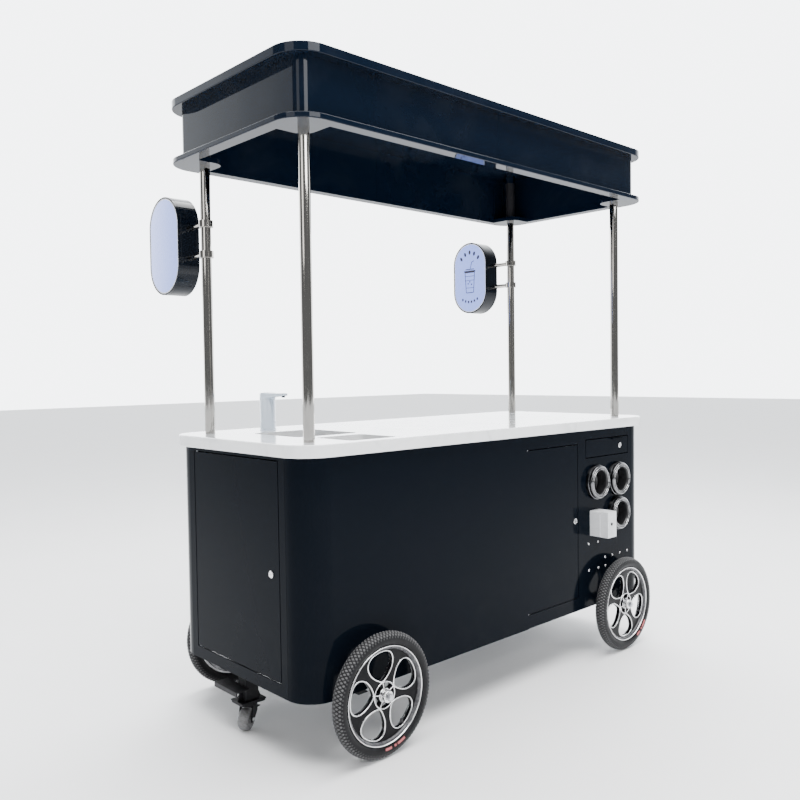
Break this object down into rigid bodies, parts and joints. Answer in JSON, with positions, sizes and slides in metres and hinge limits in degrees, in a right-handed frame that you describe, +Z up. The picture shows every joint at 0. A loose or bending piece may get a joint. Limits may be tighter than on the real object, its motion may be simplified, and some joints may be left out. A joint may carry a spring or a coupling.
{
  "type": "push vending cart",
  "caption": "Pushable vending cart: closed cabinet with doors, drawer, sink and cup dispensers, four posts and a boxed canopy, on spoked wheels.",
  "frame": {"origin": "bottom centre of the bounding box, on the floor", "axes": "+X along the cart's length towards the cup dispensers, +Y towards the back, +Z up"},
  "size_m": [2, 1.164, 2.239],
  "materials": {
    "black_gloss_steel": "gloss",
    "black_gloss_board": "gloss",
    "stainless": "polished",
    "chrome": "polished",
    "counter_white": "gloss",
    "sink_steel": "brushed",
    "tyre_rubber": "matte",
    "rim_black": "satin",
    "hub_silver": "satin",
    "zinc_steel": "satin",
    "frame_black": "satin",
    "caster_grey": "satin",
    "white_plastic": "gloss",
    "socket_white": "satin",
    "black_plastic": "satin",
    "sign_lens": "satin",
    "inner_board": "matte",
    "tank_plastic": "satin"
  },
  "bodies": {
    "cart": {"axle_brackets": "frame_black", "axle_nuts": "zinc_steel", "axles": "zinc_steel", "canopy_ring": "black_gloss_board", "caster_leg": "frame_black", "caster_plate": "zinc_steel", "chassis": "frame_black", "countertop": "counter_white", "cup_bezels": "chrome", "cup_tubes": "black_plastic", "door_pivots": "zinc_steel", "end_panels": "black_gloss_steel", "fascia_panels": "black_gloss_board", "floor_panel": "frame_black", "front_left_panel": "black_gloss_steel", "front_right_panel": "black_gloss_steel", "inner_panels": "inner_board", "panel_bolts": "chrome", "post_sockets": "frame_black", "posts": "stainless", "rear_panel": "black_gloss_steel", "roof_panel": "black_gloss_board", "sign_arms": "stainless", "sign_casings": "black_plastic", "sign_faces": "sign_lens", "sink_basins": "sink_steel", "slide_rails": "zinc_steel", "socket_box": "socket_white", "tap_tower": "white_plastic", "waste_pipe": "white_plastic", "water_tanks": "tank_plastic"},
    "wheel_front_left": {"tyre_front_left": "tyre_rubber", "rim_front_left": "rim_black", "hub_front_left": "hub_silver"},
    "wheel_front_right": {"tyre_front_right": "tyre_rubber", "rim_front_right": "rim_black", "hub_front_right": "hub_silver"},
    "wheel_rear_left": {"tyre_rear_left": "tyre_rubber", "rim_rear_left": "rim_black", "hub_rear_left": "hub_silver"},
    "wheel_rear_right": {"tyre_rear_right": "tyre_rubber", "rim_rear_right": "rim_black", "hub_rear_right": "hub_silver"},
    "caster_swivel": {"caster_fork": "frame_black", "caster_axle": "zinc_steel"},
    "caster_roller": {"caster_wheel": "caster_grey"},
    "caster_pedal": {"caster_brake": "frame_black"},
    "end_door_leaf": {"end_door": "black_gloss_steel"},
    "front_door_leaf": {"front_door": "black_gloss_steel"},
    "end_door_cam": {"end_door_lock": "chrome"},
    "front_door_cam": {"front_door_lock": "chrome"},
    "drawer": {"drawer_front": "black_gloss_steel", "drawer_box": "zinc_steel"},
    "drawer_cam": {"drawer_lock": "chrome"},
    "cup_push_1": {"cup_pusher_1": "black_plastic"},
    "cup_push_2": {"cup_pusher_2": "black_plastic"},
    "cup_push_3": {"cup_pusher_3": "black_plastic"},
    "socket_flap": {"socket_cover": "socket_white"},
    "tap_head": {"tap_arm": "white_plastic"},
    "tap_key": {"tap_button": "white_plastic"}
  },
  "joints": [
    {"name": "wheel_spin_front_left", "type": "hinge", "parent": "cart", "child": "wheel_front_left", "pos_m": [-0.72, -0.54, 0.203], "axis": [0, 1, 0], "continuous": true},
    {"name": "wheel_spin_front_right", "type": "hinge", "parent": "cart", "child": "wheel_front_right", "pos_m": [0.72, -0.54, 0.203], "axis": [0, 1, 0], "continuous": true},
    {"name": "wheel_spin_rear_left", "type": "hinge", "parent": "cart", "child": "wheel_rear_left", "pos_m": [-0.72, 0.366, 0.203], "axis": [0, 1, 0], "continuous": true},
    {"name": "wheel_spin_rear_right", "type": "hinge", "parent": "cart", "child": "wheel_rear_right", "pos_m": [0.72, 0.366, 0.203], "axis": [0, 1, 0], "continuous": true},
    {"name": "caster_turn", "type": "hinge", "parent": "cart", "child": "caster_swivel", "pos_m": [-0.908, -0.039, 0.0836], "axis": [0, 0, 1], "continuous": true},
    {"name": "caster_spin", "type": "hinge", "parent": "caster_swivel", "child": "caster_roller", "pos_m": [-0.9279, -0.05242, 0.037], "axis": [0.5592, -0.829, 0], "continuous": true},
    {"name": "caster_brake_press", "type": "hinge", "parent": "caster_swivel", "child": "caster_pedal", "pos_m": [-0.89971, -0.03341, 0.066], "axis": [-0.5592, 0.829, 0], "range_deg": [0, 12]},
    {"name": "end_door_swing", "type": "hinge", "parent": "cart", "child": "end_door_leaf", "pos_m": [-0.974, 0.165, 0.6115], "axis": [0, 0, -1], "range_deg": [0, 105]},
    {"name": "front_door_swing", "type": "hinge", "parent": "cart", "child": "front_door_leaf", "pos_m": [0.12, -0.477, 0.596], "axis": [0, 0, -1], "range_deg": [0, 105]},
    {"name": "end_lock_turn", "type": "hinge", "parent": "end_door_leaf", "child": "end_door_cam", "pos_m": [-0.98, -0.305, 0.6], "axis": [-1, 0, 0], "range_deg": [0, 90]},
    {"name": "front_lock_turn", "type": "hinge", "parent": "front_door_leaf", "child": "front_door_cam", "pos_m": [0.433, -0.483, 0.6], "axis": [0, -1, 0], "range_deg": [0, 90]},
    {"name": "drawer_slide", "type": "slide", "parent": "cart", "child": "drawer", "axis": [0, -1, 0], "range_m": [0, 0.35]},
    {"name": "drawer_lock_turn", "type": "hinge", "parent": "drawer", "child": "drawer_cam", "pos_m": [0.782, -0.483, 0.899], "axis": [0, 1, 0], "range_deg": [0, 90]},
    {"name": "cup_push_1_travel", "type": "slide", "parent": "cart", "child": "cup_push_1", "axis": [0, 1, 0], "range_m": [0, 0.3], "stiffness_N_per_m": 15, "springref_m": -0.06},
    {"name": "cup_push_2_travel", "type": "slide", "parent": "cart", "child": "cup_push_2", "axis": [0, 1, 0], "range_m": [0, 0.3], "stiffness_N_per_m": 15, "springref_m": -0.06},
    {"name": "cup_push_3_travel", "type": "slide", "parent": "cart", "child": "cup_push_3", "axis": [0, 1, 0], "range_m": [0, 0.3], "stiffness_N_per_m": 15, "springref_m": -0.06},
    {"name": "socket_flap_lift", "type": "hinge", "parent": "cart", "child": "socket_flap", "pos_m": [0.581, -0.5395, 0.6245], "axis": [-1, 0, 0], "range_deg": [0, 90]},
    {"name": "tap_swivel", "type": "hinge", "parent": "cart", "child": "tap_head", "pos_m": [-0.655, 0.184, 1.168], "axis": [0, 0, 1], "range_deg": [-75, 75]},
    {"name": "tap_press", "type": "slide", "parent": "tap_head", "child": "tap_key", "axis": [0, 0, -1], "range_m": [0, 0.002], "stiffness_N_per_m": 400, "springref_m": -0.001}
  ]
}
